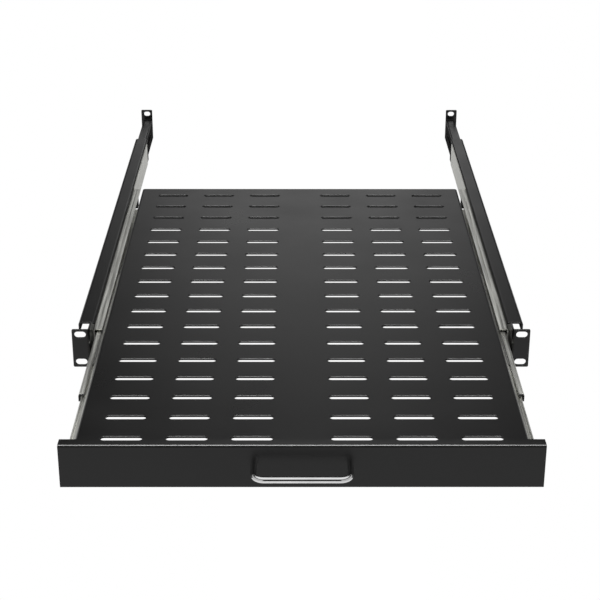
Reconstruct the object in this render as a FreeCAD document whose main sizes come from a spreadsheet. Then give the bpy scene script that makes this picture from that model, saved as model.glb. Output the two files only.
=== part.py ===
import FreeCAD, Part
import os
import re
import Sketcher

# Sliding 1U rack shelf with ball slides. +X is to the right, +Y to the rear and +Z up.
# The origin is the middle of the four front ear slots, on the ears' seating face.
# The tray stands partly pulled out.

doc = FreeCAD.newDocument("sliding_rack_shelf")
sheet = doc.addObject("Spreadsheet::Sheet", "sizes")

# Driving dimensions in millimetres
driving = {
    "ear_span": 482.6,
    "ear_height": 43.6,
    "ear_reach": 19.0,
    "ear_hole_inset": 8.75,
    "ear_hole_up": 31.75,
    "ear_slot_length": 12.2,
    "rear_slot_length": 9.6,
    "ear_slot_width": 7.0,
    "ear_corner": 1.5,
    "bracket_wall": 2.0,
    "bracket_bend": 1.0,
    "bend_relief": 4,
    "flange_step": 11.4,
    "flange_reach": 18,
    "flange_start": 41,
    "lip_drop": 10,
    "mount_depth": 786,
    "rear_reach": 106,
    "rear_margin": 15,
    "nest_gap": 0.3,
    "nest_side": 1.0,
    "stud_back": 30,
    "stud_spacing": 110,
    "stud_diameter": 5,
    "stud_length": 9,
    "nut_across": 8,
    "nut_height": 4.5,
    "adjust_in": 100,
    "adjust_out": 60,
    "hole_clearance": 0.2,
    "deck_depth": 682,
    "deck_wall": 1.5,
    "deck_bend": 1.0,
    "flange_drop": 43,
    "panel_gap": 1.3,
    "panel_height": 43.6,
    "return_depth": 12,
    "pull_out": 245,
    "vent_rows": 17,
    "vent_front": 13.8,
    "vent_back": 28.2,
    "vent_column_pitch": 59.5,
    "vent_edge": 22.9,
    "vent_length": 38.2,
    "vent_width": 6.8,
    "handle_span": 88,
    "handle_bar": 6,
    "handle_bend": 10,
    "handle_reach": 27,
    "handle_screw": 3,
    "handle_screw_depth": 8,
    "handle_bore_room": 1,
    "screw_head": 7,
    "screw_head_height": 2.2,
    "slide_thickness": 15.8,
    "slide_height": 30,
    "slide_drop": 1.5,
    "slide_length": 440,
    "slide_wall": 1.2,
    "slide_bend": 0.6,
    "outer_setback": 27,
    "outer_lip": 9.2,
    "tail_back": 25,
    "tail_inset": 1,
    "mid_setback": 7.5,
    "mid_lip": 5.5,
    "mid_notch_length": 12,
    "mid_notch_height": 7.2,
    "inner_gap": 1.5,
    "inner_lip": 11,
    "cage_room": 1.1,
    "cage_wall": 0.5,
    "cage_edge": 0.9,
    "race_gap": 2.7,
    "ball_diameter": 3,
    "ball_clearance": 0.15,
    "balls_in_row": 5,
    "ball_margin": 15,
    "outer_cage_start": 110,
    "outer_cage_length": 160,
    "inner_cage_lead": 70,
    "inner_cage_length": 180,
    "rivet_diameter": 4,
    "rivet_head": 8,
    "rivet_head_height": 1.5,
    "rivet_front": 43,
    "rivet_pitch": 135,
    "inner_screw": 4,
    "inner_screw_length": 5,
    "inner_screw_front": 30,
    "inner_screw_back": 20,
    "bumper_length": 14,
    "bumper_height": 12,
    "bumper_depth": 5.5,
    "bumper_gap": 1,
}

for row, (alias, number) in enumerate(driving.items(), start=1):
    sheet.set("A%d" % row, alias)
    sheet.set("B%d" % row, str(number))
    sheet.setAlias("B%d" % row, alias)
doc.recompute()

# Places worked out from the driving dimensions. X values are for the right-hand side.
places = {
    "ear_edge": "ear_span / 2",
    "ear_top": "ear_height / 2",
    "ear_hole_x": "ear_edge - ear_hole_inset",
    "ear_hole_z": "ear_hole_up / 2",
    "web_face": "ear_edge - ear_reach",
    "web_back": "web_face + bracket_wall",
    "deck_half": "web_face - slide_thickness",
    "panel_half": "web_face - panel_gap",
    "deck_top": "panel_height / 2",
    "flange_foot": "deck_top - flange_drop",
    "panel_face": "-bracket_wall - pull_out",
    "panel_back": "panel_face + deck_wall",
    "return_end": "panel_face + return_depth",
    "deck_rear": "panel_face + deck_depth",
    "vent_first_column": "deck_half - vent_edge - vent_length / 2 - 2 * vent_column_pitch",
    "handle_leg": "handle_span / 2",
    "handle_line": "panel_face - handle_reach + handle_bar / 2",
    "flange_top": "ear_top - flange_step",
    "flange_under": "flange_top - bracket_wall",
    "web_top": "flange_under - bracket_bend",
    "flange_edge": "web_face + flange_reach",
    "lip_face": "flange_edge - bracket_wall",
    "lip_foot": "flange_top - lip_drop",
    "rear_web_face": "web_back + nest_gap",
    "rear_web_back": "rear_web_face + bracket_wall",
    "rear_flange_top": "flange_under - nest_gap",
    "rear_flange_under": "rear_flange_top - bracket_wall",
    "rear_web_top": "rear_flange_under - bracket_bend",
    "rear_flange_edge": "lip_face - nest_side",
    "rear_ear_back": "mount_depth + bracket_wall",
    "bracket_end": "mount_depth - rear_reach",
    "stud_front": "bracket_end - stud_back - stud_spacing",
    "stud_height": "slide_middle",
    "rear_start": "stud_front - adjust_out - rear_margin",
    "outer_top": "flange_top - slide_drop",
    "outer_foot": "outer_top - slide_height",
    "slide_middle": "outer_top - slide_height / 2",
    "outer_end": "outer_setback + slide_length",
    "tail_length": "bracket_end - tail_back - outer_end",
    "outer_web": "web_face - slide_wall",
    "outer_tip": "web_face - outer_lip",
    "mid_back": "outer_web - cage_room",
    "mid_web": "mid_back - slide_wall",
    "mid_tip": "mid_back - mid_lip",
    "mid_top": "outer_top - slide_wall - race_gap",
    "mid_foot": "2 * slide_middle - mid_top",
    "mid_start": "mid_setback - pull_out / 2",
    "mid_end": "mid_start + slide_length",
    "inner_web": "deck_half + slide_wall",
    "inner_tip": "deck_half + inner_lip",
    "inner_top": "mid_top - slide_wall - race_gap",
    "inner_foot": "2 * slide_middle - inner_top",
    "inner_start": "panel_back + inner_gap",
    "inner_screw_pitch": "(slide_length - inner_screw_front - inner_screw_back) / 2",
    "ball_x": "(mid_tip + inner_tip) / 2",
    "outer_ball_rise": "outer_top - slide_wall - race_gap / 2 - slide_middle",
    "inner_ball_rise": "mid_top - slide_wall - race_gap / 2 - slide_middle",
    "lip_root": "slide_wall + 2 * slide_bend",
    "race_radius": "ball_diameter / 2 + ball_clearance",
    "cage_tip": "ball_x - race_radius - cage_edge",
    "outer_cage_back": "(outer_web + mid_back + cage_wall) / 2",
    "inner_cage_back": "(mid_web + inner_tip + cage_wall) / 2",
    "inner_cage_start": "mid_start + inner_cage_lead",
    "bumper_front": "mid_setback + slide_length + bumper_gap",
}


# Two places nearer than this are one
same_place = 1e-4


# A formula with each place spelled out in driving dimensions
def spelled(formula):
    def swap(match):
        word = match.group(0)
        if word in places:
            return "(" + spelled(places[word]) + ")"
        return "sizes." + word
    return re.sub(r"[a-z_]+", swap, formula)


def amount(formula):
    return float(sheet.evalExpression(spelled(formula)))


def bind(thing, prop, formula):
    thing.setExpression(prop, spelled(formula))


def new_body(name):
    body = doc.addObject("PartDesign::Body", name)
    body.Label = name
    return body


def origin_feature(body, role):
    return [feature for feature in body.Origin.OriginFeatures if feature.Role == role][0]


# A sketch on one of the body's own planes, set off to a start along +X, +Y or +Z
def new_sketch(body, plane, start):
    sketch = body.newObject("Sketcher::SketchObject", body.Label + "_sketch")
    sketch.AttachmentSupport = [(origin_feature(body, plane), "")]
    sketch.MapMode = "FlatFace"
    sign = "-" if plane == "XZ_Plane" else ""
    bind(sketch, "AttachmentOffset.Base.z", sign + "(" + start + ")")
    return sketch


def drive(sketch, constraint, formula):
    index = sketch.addConstraint(constraint)
    sketch.setExpression("Constraints[%d]" % index, spelled(formula))


def pin(sketch, line, point, across, up):
    drive(sketch, Sketcher.Constraint("DistanceX", -1, 1, line, point, amount(across)), across)
    drive(sketch, Sketcher.Constraint("DistanceY", -1, 1, line, point, amount(up)), up)


def draw_polygon(sketch, corners):
    first = sketch.GeometryCount
    spots = [FreeCAD.Vector(amount(across), amount(up), 0) for across, up in corners]
    count = len(spots)
    for i in range(count):
        sketch.addGeometry(Part.LineSegment(spots[i], spots[(i + 1) % count]))
    for i in range(count):
        following = first + (i + 1) % count
        sketch.addConstraint(Sketcher.Constraint("Coincident", first + i, 2, following, 1))
    for i, (across, up) in enumerate(corners):
        pin(sketch, first + i, 1, across, up)


def draw_rectangle(sketch, left, low, right, high):
    draw_polygon(sketch, [(left, low), (right, low), (right, high), (left, high)])


def draw_circle(sketch, across, up, radius):
    centre = FreeCAD.Vector(amount(across), amount(up), 0)
    circle = Part.Circle(centre, FreeCAD.Vector(0, 0, 1), amount(radius))
    index = sketch.addGeometry(circle)
    pin(sketch, index, 3, across, up)
    drive(sketch, Sketcher.Constraint("Radius", index, amount(radius)), radius)


# A round-ended slot along the sketch's first axis
def draw_slot(sketch, across, up, length, width):
    radius = "(%s) / 2" % width
    left = "(%s) - ((%s) - (%s)) / 2" % (across, length, width)
    right = "(%s) + ((%s) - (%s)) / 2" % (across, length, width)
    round_end = amount(radius)
    normal = FreeCAD.Vector(0, 0, 1)
    half_turn = 3.141592653589793
    centres = [FreeCAD.Vector(amount(x), amount(up), 0) for x in (left, right)]
    rise = FreeCAD.Vector(0, round_end, 0)
    first = sketch.addGeometry(
        Part.ArcOfCircle(Part.Circle(centres[0], normal, round_end), half_turn / 2, half_turn * 1.5)
    )
    second = sketch.addGeometry(
        Part.ArcOfCircle(Part.Circle(centres[1], normal, round_end), -half_turn / 2, half_turn / 2)
    )
    low = sketch.addGeometry(Part.LineSegment(centres[0] - rise, centres[1] - rise))
    high = sketch.addGeometry(Part.LineSegment(centres[1] + rise, centres[0] + rise))
    for line, line_end, arc, arc_end in (
        (low, 1, first, 2),
        (low, 2, second, 1),
        (high, 1, second, 2),
        (high, 2, first, 1),
    ):
        sketch.addConstraint(Sketcher.Constraint("Tangent", line, line_end, arc, arc_end))
    sketch.addConstraint(Sketcher.Constraint("Equal", first, second))
    pin(sketch, first, 3, left, up)
    pin(sketch, second, 3, right, up)
    drive(sketch, Sketcher.Constraint("Radius", first, round_end), radius)


def plane_of(sketch):
    return sketch.AttachmentSupport[0][0].Role


# Material added from the sketch along +X, +Y or +Z
def pad(body, sketch, length):
    feature = body.newObject("PartDesign::Pad", body.Label + "_pad")
    feature.Profile = sketch
    feature.Reversed = plane_of(sketch) == "XZ_Plane"
    bind(feature, "Length", length)
    sketch.Visibility = False
    return feature


# Material taken away from the sketch along +X, +Y or -Z
def pocket(body, sketch, length):
    doc.recompute()
    before = body.Shape.Volume
    feature = body.newObject("PartDesign::Pocket", body.Label + "_pocket")
    feature.Profile = sketch
    feature.Reversed = plane_of(sketch) == "YZ_Plane"
    bind(feature, "Length", length)
    doc.recompute()
    if body.Shape.Volume >= before:
        raise RuntimeError(body.Label + " has a pocket that takes nothing away")
    return feature


def pad_polygon(body, plane, corners, start, length):
    sketch = new_sketch(body, plane, start)
    draw_polygon(sketch, corners)
    return pad(body, sketch, length)


def pad_rectangle(body, plane, left, low, right, high, start, length):
    return pad_polygon(
        body, plane, [(left, low), (right, low), (right, high), (left, high)], start, length
    )


# Rounds the straight edges that run along an axis through the given places.
# A place gives the axis and the other two coordinates, in the order X, Y, Z.
def round_edges(body, radius, spots):
    doc.recompute()
    base = body.Tip
    names = []
    for axis, first, second in spots:
        others = [i for i in range(3) if i != "XYZ".index(axis)]
        wanted = (amount(first), amount(second))
        for number, edge in enumerate(base.Shape.Edges, start=1):
            ends = [vertex.Point for vertex in edge.Vertexes]
            gaps = [abs(end[i] - wanted[k]) for end in ends for k, i in enumerate(others)]
            if len(ends) == 2 and max(gaps) < same_place:
                names.append("Edge%d" % number)
    if len(names) < len(spots):
        raise RuntimeError(body.Label + " has no edge to round at one of its places")
    feature = body.newObject("PartDesign::Fillet", body.Label + "_bend")
    feature.Base = (base, names)
    bind(feature, "Radius", radius)
    doc.recompute()
    if feature.Shape.isNull() or not feature.Shape.isValid():
        raise RuntimeError("%s can't be rounded at %s" % (body.Label, spots))
    return feature


# Copies of a feature in a row along the body's Y axis
def row_along_y(body, feature, count, length):
    pattern = body.newObject("PartDesign::LinearPattern", body.Label + "_row")
    pattern.Originals = [feature]
    pattern.Direction = (origin_feature(body, "Y_Axis"), [""])
    bind(pattern, "Length", length)
    bind(pattern, "Occurrences", count)
    body.Tip = pattern
    return pattern


def place(thing, x, y, z):
    bind(thing, "Placement.Base.x", x)
    bind(thing, "Placement.Base.y", y)
    bind(thing, "Placement.Base.z", z)


# A round bar from a place along +X or +Y
def bar(name, axis, radius, length, x, y, z):
    thing = doc.addObject("Part::Cylinder", name)
    turn = {"X": FreeCAD.Vector(0, 1, 0), "Y": FreeCAD.Vector(-1, 0, 0)}[axis]
    thing.Placement.Rotation = FreeCAD.Rotation(turn, 90)
    bind(thing, "Radius", radius)
    bind(thing, "Height", length)
    place(thing, x, y, z)
    return thing


def joined(name, pieces):
    thing = doc.addObject("Part::MultiFuse", name)
    thing.Shapes = pieces
    return thing


def cut_away(name, base, tool):
    thing = doc.addObject("Part::Cut", name)
    thing.Base = base
    thing.Tool = tool
    return thing


# Several like pieces that share one node
def group(name, pieces):
    thing = doc.addObject("Part::Compound", name)
    thing.Links = pieces
    thing.Label = name
    return thing


# Deck, front panel, side flanges and rear flange, folded from one sheet
def make_tray():
    tray = new_body("tray")
    deck_under = "deck_top - deck_wall"
    outside = "deck_bend + deck_wall"
    trough = [
        ("-deck_half", "flange_foot"),
        ("deck_wall - deck_half", "flange_foot"),
        ("deck_wall - deck_half", deck_under),
        ("deck_half - deck_wall", deck_under),
        ("deck_half - deck_wall", "flange_foot"),
        ("deck_half", "flange_foot"),
        ("deck_half", "deck_top"),
        ("-deck_half", "deck_top"),
    ]
    pad_polygon(tray, "XZ_Plane", trough, "return_end", "deck_rear - return_end")
    side_insides = [
        ("Y", "deck_wall - deck_half", deck_under),
        ("Y", "deck_half - deck_wall", deck_under),
    ]
    round_edges(tray, "deck_bend", side_insides)
    round_edges(tray, outside, [("Y", "-deck_half", "deck_top"), ("Y", "deck_half", "deck_top")])
    pad_rectangle(
        tray, "XZ_Plane", "deck_wall / 2 - deck_half", "flange_foot",
        "deck_half - deck_wall / 2", deck_under, "deck_rear - deck_wall", "deck_wall",
    )
    front = [
        ("panel_face", "-deck_top"),
        ("panel_back", "-deck_top"),
        ("panel_back", deck_under),
        ("return_end", deck_under),
        ("return_end", "deck_top"),
        ("panel_face", "deck_top"),
    ]
    pad_polygon(tray, "YZ_Plane", front, "-panel_half", "2 * panel_half")
    round_edges(tray, "deck_bend", [("X", "panel_back", deck_under)])
    round_edges(tray, outside, [("X", "panel_face", "deck_top")])
    round_edges(tray, "deck_wall", [("X", "deck_rear", "deck_top")])
    handle_holes = new_sketch(tray, "XZ_Plane", "panel_face")
    for side in ("-", ""):
        draw_circle(handle_holes, side + "handle_leg", "0", "(handle_screw + hole_clearance) / 2")
    pocket(tray, handle_holes, "deck_wall")
    for start in ("-deck_half", "deck_half - deck_wall"):
        slide_holes = new_sketch(tray, "YZ_Plane", start)
        for spot in inner_screw_places:
            draw_circle(slide_holes, spot, "slide_middle", "(inner_screw + hole_clearance) / 2")
        pocket(tray, slide_holes, "deck_wall")
    vents = new_sketch(tray, "XY_Plane", "deck_top")
    for side in ("-", ""):
        for column in range(3):
            across = "%s(vent_first_column + %d * vent_column_pitch)" % (side, column)
            draw_slot(vents, across, "panel_face + vent_front", "vent_length", "vent_width")
    front_row = pocket(tray, vents, "deck_wall")
    row_along_y(tray, front_row, "vent_rows", "deck_depth - vent_front - vent_back")
    return tray


# Bow handle: two legs, two quarter bends and a cross bar, bored for its screws
def make_handle():
    radius = "handle_bar / 2"
    straight_leg = "handle_reach - handle_bar / 2 - handle_bend"
    legs = [
        bar("handle_leg", "Y", radius, straight_leg, side + "handle_leg", "handle_line + handle_bend", "0")
        for side in ("-", "")
    ]
    cross = bar(
        "handle_cross", "X", radius, "handle_span - 2 * handle_bend",
        "handle_bend - handle_leg", "handle_line", "0",
    )
    bends = []
    for x, turn in (("handle_bend - handle_leg", 180), ("handle_leg - handle_bend", -90)):
        bend = doc.addObject("Part::Torus", "handle_bend")
        bend.Angle3 = 90
        bend.Placement.Rotation = FreeCAD.Rotation(FreeCAD.Vector(0, 0, 1), turn)
        bind(bend, "Radius1", "handle_bend")
        bind(bend, "Radius2", radius)
        place(bend, x, "handle_line + handle_bend", "0")
        bends.append(bend)
    bow = joined("handle_bow", legs + bends + [cross])
    bores = [
        bar(
            "handle_bore", "Y", "(handle_screw + hole_clearance) / 2", "handle_screw_depth",
            side + "handle_leg", "panel_face - handle_screw_depth", "0",
        )
        for side in ("-", "")
    ]
    handle = cut_away("handle", bow, joined("handle_bores", bores))
    handle.Label = "handle"
    return handle


# Pan-head screws behind the panel, into the legs of the handle
def make_handle_screws():
    screws = []
    for side in ("-", ""):
        x = side + "handle_leg"
        head = bar(
            "handle_screw_head", "Y", "screw_head / 2", "screw_head_height", x, "panel_back", "0"
        )
        shank = bar(
            "handle_screw_shank", "Y", "handle_screw / 2",
            "deck_wall + handle_screw_depth - handle_bore_room",
            x, "panel_face - handle_screw_depth + handle_bore_room", "0",
        )
        screws.append(joined("handle_screw", [head, shank]))
    return group("handle_screws", screws)


def cut_ear_slots(body, start, length):
    slots = new_sketch(body, "XZ_Plane", start)
    for side in ("-", ""):
        draw_slot(slots, "ear_hole_x", side + "ear_hole_z", length, "ear_slot_width")
    pocket(body, slots, "bracket_wall")


# Web and ear in one folded sheet, as high as the ear, with the spare corner of the web cut off.
# The outline gives the web's near face, its far face, the free end and the ear's two faces.
def fold_ear(bracket, near, far, free_end, ear_inside, ear_outside, spare):
    corner = [
        (near, ear_outside),
        ("ear_edge", ear_outside),
        ("ear_edge", ear_inside),
        (far, ear_inside),
        (far, free_end),
        (near, free_end),
    ]
    pad_polygon(bracket, "XY_Plane", corner, "-ear_top", "ear_height")
    waste = new_sketch(bracket, "YZ_Plane", near)
    draw_polygon(waste, spare)
    pocket(bracket, waste, "bracket_wall")
    round_edges(bracket, "bracket_bend", [("Z", far, ear_inside)])
    round_edges(bracket, "bracket_bend + bracket_wall", [("Z", near, ear_outside)])


# Front rail: web, flange turned outward with a hanging lip, and the front ear
def make_front_bracket():
    bracket = new_body("right_front_bracket")
    spare = [
        ("bend_relief", "ear_top"),
        ("flange_start", "ear_top"),
        ("flange_start", "web_top - bracket_wall"),
    ]
    fold_ear(bracket, "web_face", "web_back", "flange_start", "0", "-bracket_wall", spare)
    channel = [
        ("web_face", "-ear_top"),
        ("web_back", "-ear_top"),
        ("web_back", "flange_under"),
        ("lip_face", "flange_under"),
        ("lip_face", "lip_foot"),
        ("flange_edge", "lip_foot"),
        ("flange_edge", "flange_top"),
        ("web_face", "flange_top"),
    ]
    pad_polygon(bracket, "XZ_Plane", channel, "flange_start", "bracket_end - flange_start")
    cut_ear_slots(bracket, "-bracket_wall", "ear_slot_length")
    holes = new_sketch(bracket, "YZ_Plane", "web_face")
    for spot in rivet_places:
        draw_circle(holes, spot, "slide_middle", "(rivet_diameter + hole_clearance) / 2")
    for spot in stud_places:
        draw_circle(holes, spot, "stud_height", "(stud_diameter + hole_clearance) / 2")
    pocket(bracket, holes, "bracket_wall")
    inner_bends = [("Y", "web_back", "flange_under"), ("Y", "lip_face", "flange_under")]
    outer_bends = [("Y", "web_face", "flange_top"), ("Y", "flange_edge", "flange_top")]
    round_edges(bracket, "bracket_bend", inner_bends)
    round_edges(bracket, "bracket_bend + bracket_wall", outer_bends)
    round_edges(bracket, "ear_corner", ear_corners)
    return bracket


# Rear rail, nested in the front one: web with the long adjusting slot, flange and the rear ear
def make_rear_bracket():
    bracket = new_body("right_rear_bracket")
    spare = [
        ("rear_start", "rear_web_top"),
        ("mount_depth - bend_relief / 2", "rear_web_top"),
        ("mount_depth - bend_relief / 2", "ear_top"),
        ("rear_start", "ear_top"),
    ]
    fold_ear(
        bracket, "rear_web_face", "rear_web_back", "rear_start", "mount_depth", "rear_ear_back", spare
    )
    angle = [
        ("rear_web_face", "rear_web_top"),
        ("rear_web_back", "rear_web_top"),
        ("rear_web_back", "rear_flange_under"),
        ("rear_flange_edge", "rear_flange_under"),
        ("rear_flange_edge", "rear_flange_top"),
        ("rear_web_face", "rear_flange_top"),
    ]
    pad_polygon(bracket, "XZ_Plane", angle, "rear_start", "mount_depth - bend_relief - rear_start")
    cut_ear_slots(bracket, "mount_depth", "rear_slot_length")
    slot = new_sketch(bracket, "YZ_Plane", "rear_web_face")
    draw_slot(
        slot,
        "stud_front + (stud_spacing + adjust_in - adjust_out) / 2",
        "stud_height",
        "stud_spacing + adjust_in + adjust_out + stud_diameter + hole_clearance",
        "stud_diameter + hole_clearance",
    )
    pocket(bracket, slot, "bracket_wall")
    round_edges(bracket, "bracket_bend", [("Y", "rear_web_back", "rear_flange_under")])
    round_edges(bracket, "bracket_bend + bracket_wall", [("Y", "rear_web_face", "rear_flange_top")])
    round_edges(bracket, "ear_corner", ear_corners)
    return bracket


def make_adjust_studs():
    studs = [
        bar(
            "adjust_stud", "X", "stud_diameter / 2", "bracket_wall + stud_length",
            "web_face", y, "stud_height",
        )
        for y in stud_places
    ]
    return group("right_adjust_studs", studs)


# Hexagon nuts that clamp the rear rail to the front one
def make_adjust_nuts():
    nuts = []
    for y in stud_places:
        hexagon = doc.addObject("Part::Prism", "nut_hexagon")
        hexagon.Polygon = 6
        hexagon.Placement.Rotation = FreeCAD.Rotation(FreeCAD.Vector(0, 1, 0), 90)
        bind(hexagon, "Circumradius", "nut_across / %.6f" % 3 ** 0.5)
        bind(hexagon, "Height", "nut_height")
        place(hexagon, "rear_web_back", y, "stud_height")
        bore = bar(
            "nut_bore", "X", "(stud_diameter + hole_clearance) / 2", "nut_height",
            "rear_web_back", y, "stud_height",
        )
        nuts.append(cut_away("adjust_nut", hexagon, bore))
    return group("right_adjust_nuts", nuts)


# Rolled lips of a slide member, over and under its web, with the ball grooves in them
def make_lips(name, back, tip, web, top, start, rises):
    lips = []
    for height, side, into in (("upper", "+", "-"), ("lower", "-", "+")):
        lip = new_body("%s_%s_lip" % (name, height))
        edge = "slide_middle %s (%s - slide_middle)" % (side, top)
        inside = "%s %s slide_wall" % (edge, into)
        root = "%s %s lip_root" % (edge, into)
        section = [
            (back, edge),
            (tip, edge),
            (tip, inside),
            (web, inside),
            (web, root),
            (back, root),
        ]
        pad_polygon(lip, "XZ_Plane", section, start, "slide_length")
        round_edges(lip, "slide_bend", [("Y", web, inside)])
        round_edges(lip, "slide_bend + slide_wall", [("Y", back, edge)])
        for rise in rises:
            race = new_sketch(lip, "XZ_Plane", start)
            draw_circle(race, "ball_x", "slide_middle %s (%s)" % (side, rise), "race_radius")
            pocket(lip, race, "slide_length")
        lips.append(lip)
    return lips


# Web of the outer slide member, running on to the rear as a flat tail
def make_outer_member():
    member = new_body("right_outer_member")
    pad_rectangle(
        member, "XZ_Plane", "outer_web", "outer_foot + lip_root", "web_face", "outer_top - lip_root",
        "outer_setback", "slide_length",
    )
    pad_rectangle(
        member, "XZ_Plane", "outer_web", "outer_foot + tail_inset", "web_face", "flange_top",
        "outer_end", "tail_length",
    )
    holes = new_sketch(member, "YZ_Plane", "outer_web")
    for spot in rivet_places:
        draw_circle(holes, spot, "slide_middle", "(rivet_diameter + hole_clearance) / 2")
    pocket(member, holes, "slide_wall")
    return member


# Rivets through the outer member and the front rail, flush on the slide's side
def make_outer_rivets():
    rivets = []
    for y in rivet_places:
        shank = bar(
            "rivet_shank", "X", "rivet_diameter / 2", "slide_wall + bracket_wall",
            "outer_web", y, "slide_middle",
        )
        head = bar("rivet_head", "X", "rivet_head / 2", "rivet_head_height", "web_back", y, "slide_middle")
        rivets.append(joined("rivet", [shank, head]))
    return group("right_outer_rivets", rivets)


# Web of the intermediate slide member, notched at its front end
def make_intermediate_member():
    member = new_body("right_intermediate_member")
    pad_rectangle(
        member, "XZ_Plane", "mid_web", "mid_foot + lip_root", "mid_back", "mid_top - lip_root",
        "mid_start", "slide_length",
    )
    notch = new_sketch(member, "YZ_Plane", "mid_web")
    draw_rectangle(
        notch, "mid_start", "slide_middle - mid_notch_height / 2",
        "mid_start + mid_notch_length", "slide_middle + mid_notch_height / 2",
    )
    pocket(member, notch, "slide_wall")
    return member


# Web of the inner slide member, against the side flange of the tray
def make_inner_member():
    member = new_body("right_inner_member")
    pad_rectangle(
        member, "XZ_Plane", "deck_half", "inner_foot + lip_root", "inner_web", "inner_top - lip_root",
        "inner_start", "slide_length",
    )
    holes = new_sketch(member, "YZ_Plane", "deck_half")
    for spot in inner_screw_places:
        draw_circle(holes, spot, "slide_middle", "(inner_screw + hole_clearance) / 2")
    pocket(member, holes, "slide_wall")
    return member


# Screws through the inner member into the side flange of the tray
def make_inner_screws():
    screws = []
    for y in inner_screw_places:
        head = bar(
            "inner_screw_head", "X", "screw_head / 2", "screw_head_height",
            "inner_web", y, "slide_middle",
        )
        shank = bar(
            "inner_screw_shank", "X", "inner_screw / 2", "inner_screw_length",
            "inner_web - inner_screw_length", y, "slide_middle",
        )
        screws.append(joined("inner_screw", [head, shank]))
    return group("right_inner_screws", screws)


def ball_pitch(cage_length):
    return "(%s - 2 * ball_margin) / (balls_in_row - 1)" % cage_length


# Ball cage: a thin channel with a row of round holes in each lip
def make_cage(name, back, rise, start, length):
    cage = new_body(name)
    rise_out = "(%s) + cage_wall / 2" % rise
    rise_in = "(%s) - cage_wall / 2" % rise
    web = back + " - cage_wall"
    section = [
        (back, "slide_middle + " + rise_out),
        (back, "slide_middle - (%s)" % rise_out),
        ("cage_tip", "slide_middle - (%s)" % rise_out),
        ("cage_tip", "slide_middle - (%s)" % rise_in),
        (web, "slide_middle - (%s)" % rise_in),
        (web, "slide_middle + " + rise_in),
        ("cage_tip", "slide_middle + " + rise_in),
        ("cage_tip", "slide_middle + " + rise_out),
    ]
    pad_polygon(cage, "XZ_Plane", section, start, length)
    hole = new_sketch(cage, "XY_Plane", "slide_middle + " + rise_out)
    draw_circle(hole, "ball_x", start + " + ball_margin", "race_radius")
    first_hole = pocket(cage, hole, "2 * (%s)" % rise_out)
    row_along_y(cage, first_hole, "balls_in_row", "%s - 2 * ball_margin" % length)
    return cage


def make_balls(name, rise, start, length):
    balls = []
    for side in ("-", "+"):
        for i in range(driving["balls_in_row"]):
            ball = doc.addObject("Part::Sphere", "ball")
            bind(ball, "Radius", "ball_diameter / 2")
            y = "%s + ball_margin + %d * %s" % (start, i, ball_pitch(length))
            place(ball, "ball_x", y, "slide_middle %s (%s)" % (side, rise))
            balls.append(ball)
    return group(name, balls)


# Rubber block that stops the intermediate member as the shelf closes
def make_bumper():
    bumper = new_body("right_bumper")
    pad_rectangle(
        bumper, "XZ_Plane", "outer_web - bumper_depth", "slide_middle - bumper_height / 2",
        "outer_web", "slide_middle + bumper_height / 2", "bumper_front", "bumper_length",
    )
    return bumper


# The left-hand copy of a right-hand piece
def mirrored(source):
    name = source.Label.replace("right_", "left_")
    thing = doc.addObject("Part::Mirroring", name)
    thing.Source = source
    thing.Normal = FreeCAD.Vector(1, 0, 0)
    thing.Label = name
    return thing


ear_corners = [("Y", "ear_edge", "-ear_top"), ("Y", "ear_edge", "ear_top")]
stud_places = ["stud_front", "stud_front + stud_spacing"]
rivet_places = ["outer_setback + rivet_front + %d * rivet_pitch" % i for i in range(3)]
inner_screw_places = ["inner_start + inner_screw_front + %d * inner_screw_pitch" % i for i in range(3)]

nodes = [make_tray(), make_handle(), make_handle_screws()]
right_side = [
    make_front_bracket(),
    make_rear_bracket(),
    make_adjust_studs(),
    make_adjust_nuts(),
    make_outer_member(),
    *make_lips(
        "right_outer", "web_face", "outer_tip", "outer_web", "outer_top", "outer_setback",
        ["outer_ball_rise"],
    ),
    make_outer_rivets(),
    make_intermediate_member(),
    *make_lips(
        "right_intermediate", "mid_back", "mid_tip", "mid_web", "mid_top", "mid_start",
        ["outer_ball_rise", "inner_ball_rise"],
    ),
    make_inner_member(),
    *make_lips(
        "right_inner", "deck_half", "inner_tip", "inner_web", "inner_top", "inner_start",
        ["inner_ball_rise"],
    ),
    make_inner_screws(),
    make_cage(
        "right_outer_cage", "outer_cage_back", "outer_ball_rise", "outer_cage_start", "outer_cage_length"
    ),
    make_balls(
        "right_outer_balls", "outer_ball_rise", "outer_cage_start", "outer_cage_length"
    ),
    make_cage(
        "right_inner_cage", "inner_cage_back", "inner_ball_rise", "inner_cage_start", "inner_cage_length"
    ),
    make_balls(
        "right_inner_balls", "inner_ball_rise", "inner_cage_start", "inner_cage_length"
    ),
    make_bumper(),
]
for piece in right_side:
    nodes += [piece, mirrored(piece)]

doc.recompute()
for thing in doc.Objects:
    if "Invalid" in thing.State or "Error" in thing.State:
        raise RuntimeError("%s did not build" % thing.Label)
for node in nodes:
    if node.Shape.isNull() or not node.Shape.isValid():
        raise RuntimeError("%s has no valid shape" % node.Label)

os.makedirs("parts", exist_ok=True)
for node in nodes:
    node.Shape.exportStep("parts/%s.step" % node.Label)
    print(node.Label, len(node.Shape.Solids), round(node.Shape.Volume / 1000, 2), "cm3")
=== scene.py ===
import math
from functools import partial

import bmesh
import bpy
import numpy as np
from mathutils import Matrix, Vector


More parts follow.
